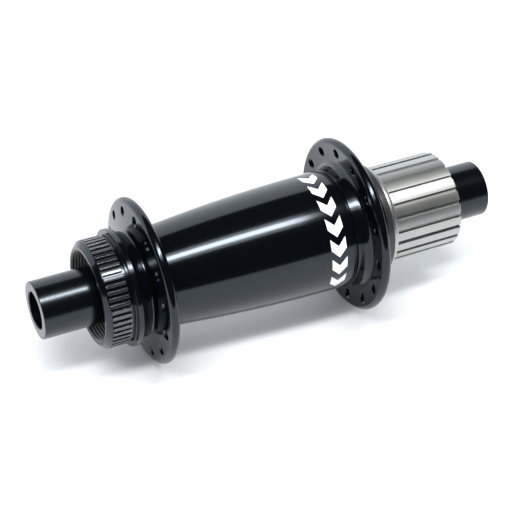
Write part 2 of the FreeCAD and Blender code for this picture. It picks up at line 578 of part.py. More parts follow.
# ---- freehub body ------------------------------------------------------------------------------------
def freehub_body():
    """Splined driver body with pawl carrier, two bearing seats, circlip groove and lockring thread."""
    carrier_end = drive(CARRIER_FROM_END)
    base_out = drive(BASE_FROM_END)
    base_in = drive(BASE_FROM_END + BASE_WIDTH)
    end = drive(FREEHUB_FROM_END)
    inner_far = drive(FREEHUB_INNER_FROM_END)
    inner_near = drive(FREEHUB_INNER_FROM_END + FREEHUB_BRG["width"])
    outer_far = drive(FREEHUB_OUTER_FROM_END)
    outer_near = drive(FREEHUB_OUTER_FROM_END + FREEHUB_BRG["width"])
    thread_in = end + THREAD_LEAD + COG_THREAD_TURNS * THREAD_PITCH
    shoulder_r = FREEHUB_BRG_R - BRG_SHOULDER
    body = turned(
        (carrier_end, CARRIER_BORE_R), (carrier_end, CARRIER_R - EDGE), (carrier_end - EDGE, CARRIER_R),
        (base_in, CARRIER_R), (base_in, BASE_R - EDGE), (base_in - EDGE, BASE_R),
        (base_out + EDGE, BASE_R), (base_out, BASE_R - EDGE),
        ((base_out - BASE_LEAD * BASE_HOLLOW[0], FREEHUB_R + BASE_HOLLOW[1]),
         (base_out - BASE_LEAD, FREEHUB_R)),
        (end + EDGE * 2, FREEHUB_R), (end, FREEHUB_R - EDGE * 2),
        (end, COG_THREAD_R + THREAD_DEPTH), (end + EDGE, COG_THREAD_R), (thread_in, COG_THREAD_R),
        (thread_in, FREEHUB_BRG_R), (outer_near, FREEHUB_BRG_R), (outer_near, shoulder_r),
        (inner_far, shoulder_r), (inner_far, FREEHUB_BRG_R), (inner_near, FREEHUB_BRG_R),
        (inner_near, CARRIER_BORE_R))
    body = body.cut(tube(outer_far - CIRCLIP_WIDTH - 2 * CIRCLIP_GAP, outer_far,
                         FREEHUB_BRG_R - 1, FREEHUB_BRG_R + CIRCLIP_BITE + CIRCLIP_GAP))
    body = body.cut(thread_cut(end, 1, COG_THREAD_R, COG_THREAD_TURNS))

    pitch = 360.0 / FREEHUB_SPLINES
    wide = pitch * FREEHUB_GROOVE_SHARE / 2
    root = FREEHUB_R - FREEHUB_GROOVE_DEPTH
    narrow = wide * GROOVE_FLANK_ROOT
    top = wide * GROOVE_FLANK_TOP
    groove = prism([polar(root, -narrow), polar(FREEHUB_R + 1, -top), polar(FREEHUB_R + 1, top),
                    polar(root, narrow)], end - 1, end + FREEHUB_GROOVE_LENGTH)
    body = body.cut(Part.makeCompound(around(groove, FREEHUB_SPLINES)))
    body = body.cut(Part.makeCompound(around(pawl_pocket(), PAWLS)))
    save("freehub_body", body)


def freehub_seal():
    """Rubber lip seal on the freehub body, closing the gap to the hub shell."""
    base_in = drive(BASE_FROM_END + BASE_WIDTH)
    lip = drive(SHELL_END_FROM_END) - RUN_GAP
    hub_side = drive(RATCHET_FROM_END) - RUN_GAP
    save("freehub_seal", turned(
        (base_in, CARRIER_R), (base_in, SEAL_R - EDGE), (base_in + EDGE, SEAL_R), (lip - EDGE, SEAL_R),
        (lip, SEAL_R - EDGE), (lip, RATCHET_SEAT_R - RUN_GAP * 2), (hub_side, RATCHET_SEAT_R - RUN_GAP * 4),
        (hub_side, CARRIER_R)))


def circlip():
    """Open wire clip that keeps the outer bearing in the freehub body."""
    face = drive(FREEHUB_OUTER_FROM_END) - CIRCLIP_GAP
    outer_r = FREEHUB_BRG_R + CIRCLIP_BITE
    inner_r = outer_r - CIRCLIP_RADIAL
    ring = tube(face, face - CIRCLIP_WIDTH, inner_r, outer_r)
    half = CIRCLIP_OPEN_DEG / 2
    opening = prism([polar(inner_r - 1, -half), polar(outer_r + 1, -half), polar(outer_r + 1, half),
                     polar(inner_r - 1, half)], face + 1, face - CIRCLIP_WIDTH - 1)
    save("freehub_circlip", ring.cut(opening))


def main():
    """Builds every node into parts/."""
    os.makedirs("parts", exist_ok=True)
    for old in os.listdir("parts"):
        os.remove(os.path.join("parts", old))

    axle()
    disc_oring_y, drive_oring_y = oring_places()
    o_ring("disc_end_cap_o_ring", disc_oring_y)
    o_ring("drive_end_cap_o_ring", drive_oring_y)
    end_cap("disc_end_cap", disc(0), -1, DISC_BRG_FROM_END)
    end_cap("drive_end_cap", drive(0), 1, FREEHUB_OUTER_FROM_END)
    spacers()
    dust_cap()

    bearing("disc_bearing", SHELL_BRG, disc(DISC_BRG_FROM_END + SHELL_BRG["width"] / 2))
    bearing("drive_bearing", SHELL_BRG, drive(DRIVE_BRG_FROM_END + SHELL_BRG["width"] / 2))
    bearing("freehub_inner_bearing", FREEHUB_BRG, drive(FREEHUB_INNER_FROM_END + FREEHUB_BRG["width"] / 2))
    bearing("freehub_outer_bearing", FREEHUB_BRG, drive(FREEHUB_OUTER_FROM_END + FREEHUB_BRG["width"] / 2))

    hub_shell()
    ratchet_ring()
    for number, pawl in enumerate(around(pawl_blank(), PAWLS), 1):
        save("pawl_%d" % number, pawl)
    save("pawl_springs", *around(pawl_spring(), PAWLS))
    freehub_body()
    freehub_seal()
    circlip()


main()
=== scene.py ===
"""Rear bicycle hub for a 12 mm through axle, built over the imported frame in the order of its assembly."""
import math

import bpy
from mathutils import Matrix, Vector


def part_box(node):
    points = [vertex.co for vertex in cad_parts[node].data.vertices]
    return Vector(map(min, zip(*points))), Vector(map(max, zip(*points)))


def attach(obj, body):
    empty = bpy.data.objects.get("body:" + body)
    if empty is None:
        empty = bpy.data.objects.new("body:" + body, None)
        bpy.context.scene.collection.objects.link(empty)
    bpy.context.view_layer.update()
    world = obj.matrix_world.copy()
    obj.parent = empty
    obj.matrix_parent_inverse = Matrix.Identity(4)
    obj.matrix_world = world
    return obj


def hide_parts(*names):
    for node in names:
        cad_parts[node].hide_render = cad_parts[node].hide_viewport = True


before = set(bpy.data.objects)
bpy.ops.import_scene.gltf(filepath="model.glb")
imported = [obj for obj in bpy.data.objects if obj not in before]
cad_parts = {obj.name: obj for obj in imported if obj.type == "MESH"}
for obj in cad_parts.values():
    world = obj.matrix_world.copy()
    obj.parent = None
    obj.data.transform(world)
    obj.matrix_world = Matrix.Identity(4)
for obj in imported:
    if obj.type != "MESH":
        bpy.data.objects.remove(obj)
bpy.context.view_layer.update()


# ---- axle ----------------------------------------------------------------------------------------------
# A hollow aluminium tube, turned and then anodised black with a satin surface, because nobody sees it once
# the caps are on. Only its bore shows, through the end caps.

MM = 0.001


def linear(hex_colour):
    """Linear colour, with alpha, of an sRGB hex colour."""
    channels = [int(hex_colour[i:i + 2], 16) / 255 for i in (1, 3, 5)]
    return [c / 12.92 if c <= 0.04045 else ((c + 0.055) / 1.055) ** 2.4 for c in channels] + [1]


def add_node(material, kind, settings, links=()):
    """Adds a node. A capital or a number names a socket, a small letter one of the node's settings."""
    node = material.node_tree.nodes.new(kind)
    for name, value in settings:
        if isinstance(name, str) and name[0].islower():
            setattr(node, name, value)
        else:
            node.inputs[name].default_value = value
    for socket, source in links:
        material.node_tree.links.new(source, node.inputs[socket])
    return node


def finish_named(name, settings):
    """A new material with its shader's own values; returns both."""
    material = bpy.data.materials.new(name)
    material.use_nodes = True
    shader = material.node_tree.nodes["Principled BSDF"]
    for socket, value in settings:
        shader.inputs[socket].default_value = value
    return material, shader


MARK_STRETCH = 60            # how much longer a tool mark is round the axle than along it


def turning_marks(material, shader, pitch_mm, depth_mm, roughness, spread):
    """Fine grooves that a lathe tool leaves round the axle, as bump and as a slight change of roughness."""
    place = add_node(material, "ShaderNodeTexCoord", ())
    stretch = add_node(material, "ShaderNodeMapping", [("Scale", (1, MARK_STRETCH, 1))],
                       [("Vector", place.outputs["Object"])])
    grain = add_node(material, "ShaderNodeTexNoise",
                     [("Scale", 1 / (MARK_STRETCH * pitch_mm * MM)), ("Detail", 4.0), ("Roughness", 0.6)],
                     [("Vector", stretch.outputs[0])])
    cloud = add_node(material, "ShaderNodeTexNoise", [("Scale", 90.0), ("Detail", 3.0)],
                     [("Vector", place.outputs["Object"])])
    both = add_node(material, "ShaderNodeMath", [("operation", "ADD")],
                    [(0, grain.outputs[0]), (1, cloud.outputs[0])])
    rough = add_node(material, "ShaderNodeMapRange",
                     [("From Min", 0.6), ("From Max", 1.4),
                      ("To Min", roughness - spread), ("To Max", roughness + spread)],
                     [("Value", both.outputs[0])])
    bump = add_node(material, "ShaderNodeBump", [("Strength", 1.0), ("Distance", depth_mm * MM)],
                    [("Height", grain.outputs[0])])
    material.node_tree.links.new(rough.outputs[0], shader.inputs["Roughness"])
    material.node_tree.links.new(bump.outputs[0], shader.inputs["Normal"])


def dress(node, material):
    """Gives a CAD node its finish."""
    for slot in bpy.data.objects[node].material_slots:
        slot.material = material


# satin black anodising on turned aluminium: dark, with a soft broken highlight along the turning marks
satin_black, shader = finish_named("satin_black_anodised", [("Base Color", linear("#101113")), ("IOR", 1.5)])
turning_marks(satin_black, shader, 0.15, 0.002, 0.34, 0.06)
dress("axle", satin_black)


# ---- end caps ------------------------------------------------------------------------------------------
# Two push-on caps of black anodised aluminium. Each is turned in one piece with its bore, has a faced-off end
# that meets the frame and one unpolished anodised finish all over, and is held on the axle by an O-ring.

TURNED_SEGMENTS = 168


def wire(name, points):
    """An object in edit mode that holds one chain of edges through the points, in metres."""
    bpy.ops.object.select_all(action="DESELECT")
    bpy.ops.mesh.primitive_plane_add(size=MM)
    piece = bpy.context.object
    piece.name = name
    piece.data.name = name
    bpy.ops.object.mode_set(mode="EDIT")
    bpy.ops.mesh.select_all(action="SELECT")
    bpy.ops.mesh.merge(type="CENTER")
    bpy.ops.transform.translate(value=points[0])
    for start, end in zip(points, points[1:]):
        bpy.ops.mesh.extrude_vertices_move(TRANSFORM_OT_translate={"value": end - start})
    bpy.ops.mesh.select_all(action="SELECT")
    bpy.ops.mesh.remove_doubles(threshold=MM / 1000)
    return piece


def turned(name, outline, segments=TURNED_SEGMENTS):
    """A turned solid: a closed outline of (y, r, corner radius) in millimetres, spun about the axle."""
    points = [Vector((0, y * MM, -r * MM)) for y, r, _ in outline]
    piece = wire(name, points + points[:1])
    round_corners(piece, outline)
    bpy.ops.mesh.select_all(action="SELECT")
    bpy.ops.mesh.spin(steps=segments, angle=math.tau, center=(0, 0, 0), axis=(0, 1, 0))
    bpy.ops.mesh.select_all(action="SELECT")
    bpy.ops.mesh.remove_doubles(threshold=MM / 1000)
    bpy.ops.mesh.normals_make_consistent(inside=False)
    bpy.ops.object.mode_set(mode="OBJECT")
    return piece


def round_corners(piece, outline):
    """Rounds the outline's corners, each with its own radius, before the spin."""
    for radius in sorted({corner for _, _, corner in outline if corner > 0}):
        places = [Vector((0, y * MM, -r * MM)) for y, r, corner in outline if corner == radius]
        bpy.ops.mesh.select_all(action="DESELECT")
        bpy.ops.object.mode_set(mode="OBJECT")
        for vertex in piece.data.vertices:
            vertex.select = any((vertex.co - place).length < MM / 500 for place in places)
        bpy.ops.object.mode_set(mode="EDIT")
        bpy.ops.mesh.bevel(affect="VERTICES", offset=radius * MM, segments=4, profile=0.5)


def only(piece):
    """Selects one object and nothing else."""
    bpy.ops.object.select_all(action="DESELECT")
    piece.select_set(True)
    bpy.context.view_layer.objects.active = piece


def smooth(piece, degrees=32):
    """Smooth shading that keeps sharp edges, with the larger faces setting the normals."""
    only(piece)
    bpy.ops.object.shade_smooth_by_angle(angle=math.radians(degrees))
    weigh = piece.modifiers.new("weigh", "WEIGHTED_NORMAL")
    weigh.keep_sharp = True
    bpy.ops.object.modifier_apply(modifier=weigh.name)


def seat(piece, body, slot, material, *nodes):
    """Puts a finished piece on its body in place of its CAD nodes."""
    piece.data.materials.clear()
    piece.data.materials.append(material)
    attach(piece, body)
    if nodes:
        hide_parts(*nodes)


# polished black anodising: clear hard alumina over dyed metal, so it mirrors the lights and is black
# elsewhere
sealed_black = [("Base Color", linear("#030508")), ("IOR", 1.55), ("Specular Tint", linear("#dce9f5"))]
gloss_black, shader = finish_named("gloss_black_anodised", sealed_black)
turning_marks(gloss_black, shader, 0.35, 0.00006, 0.12, 0.02)
# the same anodising on a cap that is turned but not polished: the lights in it have soft edges
turned_black, shader = finish_named("turned_black_anodised", sealed_black)
turning_marks(turned_black, shader, 0.25, 0.0002, 0.19, 0.03)

AXLE_BORE_R = 6.05
BORE_CHAMFER = 0.3
CAP_NOSE = 8.0               # length of a cap that stands beyond the end of the axle
CAP_SOCKET_R = 7.52
for name, face_y, inward in (("disc_end_cap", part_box("disc_end_cap")[1].y / MM, -1),
                             ("drive_end_cap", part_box("drive_end_cap")[0].y / MM, 1)):
    low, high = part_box(name)
    cap_r = (high.z - low.z) / 2 / MM
    inner_y = face_y + inward * (high.y - low.y) / MM
    step_y = face_y + inward * CAP_NOSE
    cap = turned(name + "_turned", [
        (face_y, AXLE_BORE_R + BORE_CHAMFER, 0), (face_y, cap_r, 0.35), (inner_y, cap_r, 0.3),
        (inner_y, CAP_SOCKET_R, 0), (step_y, CAP_SOCKET_R, 0), (step_y, AXLE_BORE_R, 0),
        (face_y + inward * BORE_CHAMFER, AXLE_BORE_R, 0)])
    smooth(cap)
    seat(cap, "axle", "cap_gloss_black", turned_black, name)


# ---- hub shell -----------------------------------------------------------------------------------------
# One turned forging of aluminium, polished and anodised black: rotor mount, waisted barrel and two flanges.
# The spoke holes are drilled through the flanges afterwards and lightly countersunk.

shell_low, shell_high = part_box("hub_shell")
mouth_y = shell_high.y / MM
drive_y = shell_low.y / MM
disc_face_y = mouth_y - 16.65        # outer face of the disc flange, at its spoke circle
drive_face_y = drive_y + 7.3         # inner face of the drive flange, at its spoke circle
FLANGE_THICK = 3.1
FLANGE_LEAN = 0.13           # how far each face leans along the axle for each millimetre outwards
RIM_STEPS = 12
DISC_FLANGE = {"rim": 27.2, "holes": 23.2, "outer_root": 18.6, "inner_root": 20.2}
DRIVE_FLANGE = {"rim": (shell_high.z - shell_low.z) / 2 / MM, "holes": 24.8, "outer_root": 21.6,
                "inner_root": 21.8}


def flange_points(face_y, inward, flange):
    """Outline over a flange whose outer face is at face_y on the spoke circle, from root to root."""
    def lean(r):
        return face_y + inward * FLANGE_LEAN * (r - flange["holes"])
    half = FLANGE_THICK / 2
    edge_r = flange["rim"] - half
    rim = []
    for i in range(RIM_STEPS + 1):
        turn = math.pi * i / RIM_STEPS
        rim.append((lean(edge_r) + inward * half * (1 - math.cos(turn)), edge_r + half * math.sin(turn), 0))
    outer, inner = flange["outer_root"], flange["inner_root"]
    return [(lean(outer), outer, 0)] + rim + [(lean(inner) + inward * FLANGE_THICK, inner, 0)]


def fillet(start, corner, end, count=7):
    """Points on a smooth hollow between two outline points, pulled towards the corner between them."""
    points = []
    for i in range(1, count):
        f = i / count
        y = (1 - f) ** 2 * start[0] + 2 * f * (1 - f) * corner[0] + f ** 2 * end[0]
        r = (1 - f) ** 2 * start[1] + 2 * f * (1 - f) * corner[1] + f ** 2 * end[1]
        points.append((y, r, 0))
    return points


disc_flange = flange_points(disc_face_y, -1, DISC_FLANGE)
drive_flange = flange_points(drive_face_y - FLANGE_THICK, 1, DRIVE_FLANGE)[::-1]
barrel_small = (disc_flange[-1][0] - 3.4, 16.15)        # station and radius of each end of the barrel
barrel_large = (drive_face_y + 5.6, 19.55)


def barrel_radius(y):
    """The barrel's shallow crown, level at its large end."""
    share = (y - barrel_large[0]) / (barrel_small[0] - barrel_large[0])
    return barrel_large[1] - (barrel_large[1] - barrel_small[1]) * share ** 2


BARREL_STATIONS = 28
barrel = []
for i in range(BARREL_STATIONS + 1):
    y = barrel_small[0] + (barrel_large[0] - barrel_small[0]) * i / BARREL_STATIONS
    barrel.append((y, barrel_radius(y), 0.1 if i == BARREL_STATIONS else 0))

THREAD_PITCH = 1.0
THREAD_DEPTH = 0.5


def thread_points(mouth, inward, crest_r, turns):
    """Outline of an internal thread, drawn as plain rings from its mouth inwards."""
    points = []
    for i in range(turns):
        crest_y = mouth + inward * (i + 0.5) * THREAD_PITCH
        points += [(crest_y, crest_r, 0),
                   (crest_y + inward * THREAD_PITCH / 2, crest_r + THREAD_DEPTH, 0)]
    return points


LOCKRING_CREST_R = 14.45
SPLINE_TOP_R = 17.5
SPLINE_ROOT_R = 16.55
ROTOR_STOP_R = 19.05
COLLAR_GROOVE_R = 18.85
BOSS_R = 20.45
BOSS_END_R = 19.45
spline_y = mouth_y - 1.75
stop_y = spline_y - 7.4
neck_y = stop_y - 4.25
collar_y = barrel_large[0] - 1.5
outside = [(mouth_y, LOCKRING_CREST_R + THREAD_DEPTH, 0), (mouth_y, 15.76, 0.22),
           (spline_y + 0.3, SPLINE_TOP_R, 0.45), (spline_y, SPLINE_TOP_R, 0.1),
           (spline_y, SPLINE_ROOT_R, 0), (stop_y, SPLINE_ROOT_R, 0.1),
           (stop_y, SPLINE_TOP_R, 0.08), (stop_y - 0.5, SPLINE_TOP_R, 0.08),
           (stop_y - 0.5, ROTOR_STOP_R, 0.3), (stop_y - 2.4, ROTOR_STOP_R, 0.4), (stop_y - 2.95, 17.7, 0.25),
           (neck_y, 17.25, 0.2), (neck_y - 1.4, 17.1, 0.25), (neck_y - 1.75, 16.4, 0)]
outside += fillet(outside[-1], (disc_flange[0][0] + 0.1, 16.45), disc_flange[0])
outside += disc_flange
outside += fillet(disc_flange[-1], (disc_flange[-1][0] - 0.35, 16.2), barrel_small)
outside += barrel
outside += [(barrel_large[0] - 0.2, COLLAR_GROOVE_R, 0), (collar_y + 0.2, COLLAR_GROOVE_R, 0),
            (collar_y, 19.5, 0.1), (collar_y - 1.3, 19.6, 0)]
outside += fillet(outside[-1], (drive_flange[0][0] + 0.3, 19.7), drive_flange[0])
outside += drive_flange
boss_y = drive_flange[-1][0]
outside += fillet(drive_flange[-1], (boss_y - 0.15, 20.5), (boss_y - 1.0, BOSS_R))
outside += [(boss_y - 1.0, BOSS_R, 0), (boss_y - 2.3, BOSS_R, 0.15), (boss_y - 2.3, BOSS_END_R, 0.05),
            (drive_y, BOSS_END_R, 0.25)]

RATCHET_SEAT_R = 17.2
BEARING_SEAT_R = 14.0
SHOULDER_R = 12.9            # a bearing seat's inner shoulder
SHOULDER_WIDTH = 2.0
SHOULDER_TAPER = 4.0
HOLLOW_R = 16.4
ratchet_seat_y = drive_y + 8.8
drive_seat_y = ratchet_seat_y + 7.8
disc_seat_y = mouth_y - 16.85
drive_shoulder_y = drive_seat_y + SHOULDER_WIDTH
disc_shoulder_y = disc_seat_y - SHOULDER_WIDTH
inside = [(drive_y, RATCHET_SEAT_R, 0), (ratchet_seat_y, RATCHET_SEAT_R, 0),
          (ratchet_seat_y, BEARING_SEAT_R, 0), (drive_seat_y, BEARING_SEAT_R, 0),
          (drive_seat_y, SHOULDER_R, 0), (drive_shoulder_y, SHOULDER_R, 0),
          (drive_shoulder_y + SHOULDER_TAPER, HOLLOW_R, 0), (mouth_y - 50, HOLLOW_R, 0),
          (disc_shoulder_y - SHOULDER_TAPER, 13.25, 0), (disc_shoulder_y, SHOULDER_R, 0),
          (disc_seat_y, SHOULDER_R, 0), (disc_seat_y, BEARING_SEAT_R, 0), (mouth_y - 7.0, BEARING_SEAT_R, 0)]
lockring_thread = thread_points(mouth_y, -1, LOCKRING_CREST_R, 6)
shell = turned("hub_shell_turned", outside + inside + lockring_thread[::-1])


def cut(piece, cutter):
    """Cuts one mesh out of another and deletes the cutter."""
    only(piece)
    saw = piece.modifiers.new("cut", "BOOLEAN")
    saw.operation = "DIFFERENCE"
    saw.solver = "EXACT"
    saw.object = cutter
    bpy.ops.object.modifier_apply(modifier=saw.name)
    bpy.data.objects.remove(cutter)


def ring_of(piece, count):
    """Repeats the piece's mesh evenly round the axle, inside the same object."""
    bpy.ops.object.mode_set(mode="EDIT")
    bpy.ops.mesh.select_all(action="SELECT")
    bpy.ops.mesh.spin(steps=count - 1, dupli=True, angle=math.tau * (count - 1) / count, center=(0, 0, 0),
                      axis=(0, 1, 0))
    bpy.ops.object.mode_set(mode="OBJECT")


def pick_faces(piece, wanted):
    """Goes into edit mode with only the wanted faces selected."""
    bpy.ops.object.mode_set(mode="EDIT")
    bpy.ops.mesh.select_mode(type="FACE")
    bpy.ops.mesh.select_all(action="DESELECT")
    bpy.ops.object.mode_set(mode="OBJECT")
    for face in piece.data.polygons:
        face.select = wanted(face)
    bpy.ops.object.mode_set(mode="EDIT")


SPOKE_HOLE_R = 1.3
SPOKES_PER_FLANGE = 14
STRAIGHT_DEPTH = FLANGE_THICK - 0.8         # length of a spoke hole between its countersinks
COUNTERSINK_REACH = 1.2
COUNTERSINK_SPREAD = 1.9
half_pitch = math.pi / SPOKES_PER_FLANGE
for face_y, inward, flange, turn in ((disc_face_y, -1, DISC_FLANGE, 0),
                                     (drive_face_y - FLANGE_THICK, 1, DRIVE_FLANGE, half_pitch)):
    centre = (0, (face_y + inward * FLANGE_THICK / 2) * MM, flange["holes"] * MM)
    bpy.ops.object.select_all(action="DESELECT")
    bpy.ops.mesh.primitive_cylinder_add(vertices=24, radius=SPOKE_HOLE_R * MM, depth=STRAIGHT_DEPTH * MM,
                                        location=centre, rotation=(math.pi / 2, 0, 0))
    drill = bpy.context.object
    bpy.ops.object.transform_apply()
    for side in (-1, 1):
        pick_faces(drill, lambda face: face.normal.y * side > 0.9)
        bpy.ops.mesh.extrude_region_move(
            TRANSFORM_OT_translate={"value": (0, side * COUNTERSINK_REACH * MM, 0)})
        bpy.ops.transform.resize(value=(COUNTERSINK_SPREAD, 1, COUNTERSINK_SPREAD), center_override=centre)
        bpy.ops.mesh.select_mode(type="VERT")
        bpy.ops.object.mode_set(mode="OBJECT")
    ring_of(drill, SPOKES_PER_FLANGE)
    bpy.ops.transform.rotate(value=turn, orient_axis="Y", center_override=(0, 0, 0))
    bpy.ops.object.transform_apply()
    cut(shell, drill)
smooth(shell)
seat(shell, "hub_shell", "shell_gloss_black", gloss_black, "hub_shell")
shell.data.materials.append(satin_black)      # the bore and its thread aren't polished
bore_r = (LOCKRING_CREST_R + THREAD_DEPTH + 0.05) * MM
for face in shell.data.polygons:
    if math.hypot(face.center.x, face.center.z) < bore_r:
        face.material_index = 1


# ---- rotor spline --------------------------------------------------------------------------------------
# The ribs that carry the brake rotor are milled from the same forging as the hub shell and anodised with it.
# Each is a narrow land with a flat top, straight sides and broken edges.

RIBS = 52
RIB_LENGTH = 6.4
RIB_WIDTH = 1.2
RIB_ROOT_R = 16.4            # sunk a little below the spline's floor
RIB_TAPER = 0.86             # width of the land against the width of the root
RIB_EDGE = 0.14
rib_y = spline_y + 0.03 - RIB_LENGTH / 2
bpy.ops.object.select_all(action="DESELECT")
bpy.ops.mesh.primitive_cube_add(
    size=1, location=(0, rib_y * MM, (RIB_ROOT_R + SPLINE_TOP_R) / 2 * MM),
    scale=(RIB_WIDTH * MM, RIB_LENGTH * MM, (SPLINE_TOP_R - RIB_ROOT_R) * MM))
ribs = bpy.context.object
ribs.name = "rotor_spline_ribs"
bpy.ops.object.transform_apply()
bpy.ops.object.mode_set(mode="EDIT")
bpy.ops.mesh.select_all(action="DESELECT")
bpy.ops.object.mode_set(mode="OBJECT")
for vertex in ribs.data.vertices:
    vertex.select = vertex.co.z > RIB_ROOT_R * MM * 1.01
bpy.ops.object.mode_set(mode="EDIT")
bpy.ops.transform.resize(value=(RIB_TAPER, 1, 1))
bpy.ops.mesh.bevel(affect="EDGES", offset=RIB_EDGE * MM, segments=2)
bpy.ops.object.mode_set(mode="OBJECT")
ring_of(ribs, RIBS)
smooth(ribs, 40)
# black anodising over fresh milling: rougher and greyer than the polished shell, so each land catches light
milled_black, shader = finish_named("milled_black_anodised",
                                    [("Base Color", linear("#595c61")), ("Metallic", 0.9)])
turning_marks(milled_black, shader, 0.2, 0.0003, 0.2, 0.025)
seat(ribs, "hub_shell", "shell_gloss_black", milled_black)


# ---- print on the barrel -------------------------------------------------------------------------------
# A band of plain chevrons, screen printed in white ink beside the drive flange before the barrel is
# lacquered. The ink has a thickness of a few hundredths and a slightly softer gloss than the anodising round
# it.

PRINT_FROM_DRIVE = 15.6      # hub shell's drive end to the near edge of the band
PRINT_WIDTH = 5.3
CHEVRONS = 7
CHEVRON_PITCH = 20.0
CHEVRON_ARM = 11.0           # degrees that one chevron covers along the band
CHEVRON_LEAN = 8.0
CHEVRON_STEPS = 8
PRINT_START = -7.0
INK = 0.03
ink_low = drive_y + PRINT_FROM_DRIVE


def print_point(y, degrees):
    """A point on the ink's surface: degrees are counted from the top of the barrel towards -X."""
    a = math.radians(degrees)
    r = (barrel_radius(y) + INK) * MM
    return Vector((-r * math.sin(a), y * MM, r * math.cos(a)))


chevrons = []
for i in range(CHEVRONS):
    start = PRINT_START + i * CHEVRON_PITCH
    line = []
    for step in range(CHEVRON_STEPS + 1):
        across = step / CHEVRON_STEPS
        degrees = start + CHEVRON_LEAN * (1 - abs(2 * across - 1))
        line.append(print_point(ink_low + PRINT_WIDTH * across, degrees))
    mark = wire("chevron", line)
    bpy.ops.mesh.spin(steps=CHEVRON_STEPS, angle=-math.radians(CHEVRON_ARM), center=(0, 0, 0), axis=(0, 1, 0))
    bpy.ops.object.mode_set(mode="OBJECT")
    chevrons.append(mark)
bpy.ops.object.select_all(action="DESELECT")
for mark in chevrons:
    mark.select_set(True)
bpy.context.view_layer.objects.active = chevrons[0]
bpy.ops.object.join()
band = bpy.context.object
band.name = "barrel_print"
bpy.ops.object.mode_set(mode="EDIT")
bpy.ops.mesh.select_all(action="SELECT")
bpy.ops.mesh.normals_make_consistent(inside=False)
bpy.ops.object.mode_set(mode="OBJECT")
if sum(face.normal.dot(Vector((face.center.x, 0, face.center.z))) for face in band.data.polygons) < 0:
    band.data.flip_normals()
only(band)
bpy.ops.object.shade_smooth()
# white screen ink under thin lacquer: nearly flat white with a faint mottled sheen
white_ink, shader = finish_named("white_screen_ink", [("Base Color", linear("#eceff2")), ("IOR", 1.5)])
turning_marks(white_ink, shader, 0.4, 0.0003, 0.28, 0.05)
seat(band, "hub_shell", "shell_gloss_black", white_ink)


# ---- bearings ------------------------------------------------------------------------------------------
# Four sealed cartridge bearings: ground steel races and balls, a moulded nylon cage and two rubber seals
# each.

# ground bearing steel: bright, with fine even grinding lines
bearing_steel, shader = finish_named("ground_bearing_steel",
                                     [("Base Color", linear("#b9bbbf")), ("Metallic", 1.0)])
turning_marks(bearing_steel, shader, 0.08, 0.0006, 0.2, 0.05)
# moulded nylon: dull dark grey with a faint grain from the mould
cage_nylon, shader = finish_named("moulded_nylon", [("Base Color", linear("#4a4d50")), ("IOR", 1.53)])
turning_marks(cage_nylon, shader, 0.3, 0.004, 0.5, 0.08)
# moulded nitrile rubber: matt black, with a slightly grey bloom
black_rubber, shader = finish_named("moulded_nitrile_rubber",
                                    [("Base Color", linear("#1b1c1e")), ("IOR", 1.52)])
turning_marks(black_rubber, shader, 0.25, 0.006, 0.62, 0.08)
for bearing in ("disc_bearing", "drive_bearing", "freehub_inner_bearing", "freehub_outer_bearing"):
    for part, material in (("inner_race", bearing_steel), ("outer_race", bearing_steel),
                           ("balls", bearing_steel), ("cage", cage_nylon), ("seals", black_rubber)):
        dress(bearing + "_" + part, material)
dress("disc_end_cap_o_ring", black_rubber)
dress("drive_end_cap_o_ring", black_rubber)
dress("disc_dust_cap", satin_black)


# ---- ratchet, pawls and springs ------------------------------------------------------------------------
# The ratchet ring is hardened steel pressed into the hub shell. Four ground pawls drive it, each pushed out
# by a bent leaf of blued spring steel. Two bare aluminium tubes space the bearings on the axle.

# hardened and ground tool steel: darker than the bearings
tool_steel, shader = finish_named("hardened_ground_steel",
                                  [("Base Color", linear("#8f8f92")), ("Metallic", 1.0)])
turning_marks(tool_steel, shader, 0.1, 0.001, 0.3, 0.06)
# blued spring steel: blue-black oxide over polished strip
blued_steel, shader = finish_named("blued_spring_steel",
                                   [("Base Color", linear("#4c5260")), ("Metallic", 1.0)])
turning_marks(blued_steel, shader, 0.1, 0.0008, 0.28, 0.06)
# bare turned aluminium: light grey with clear tool marks
bare_aluminium, shader = finish_named("bare_turned_aluminium",
                                      [("Base Color", linear("#cfd0d2")), ("Metallic", 1.0)])
turning_marks(bare_aluminium, shader, 0.2, 0.002, 0.3, 0.06)
for node in ("ratchet_ring", "pawl_1", "pawl_2", "pawl_3", "pawl_4"):
    dress(node, tool_steel)
for node in ("pawl_springs", "freehub_circlip"):
    dress(node, blued_steel)
for node in ("driver_spacer_long", "driver_spacer_short"):
    dress(node, bare_aluminium)


# ---- freehub body --------------------------------------------------------------------------------------
# The driver body is turned from light alloy and left bare, with a satin surface. Its grooves are milled along
# it and end square at the base ring; the mouth is threaded inside for the sprocket lockring.

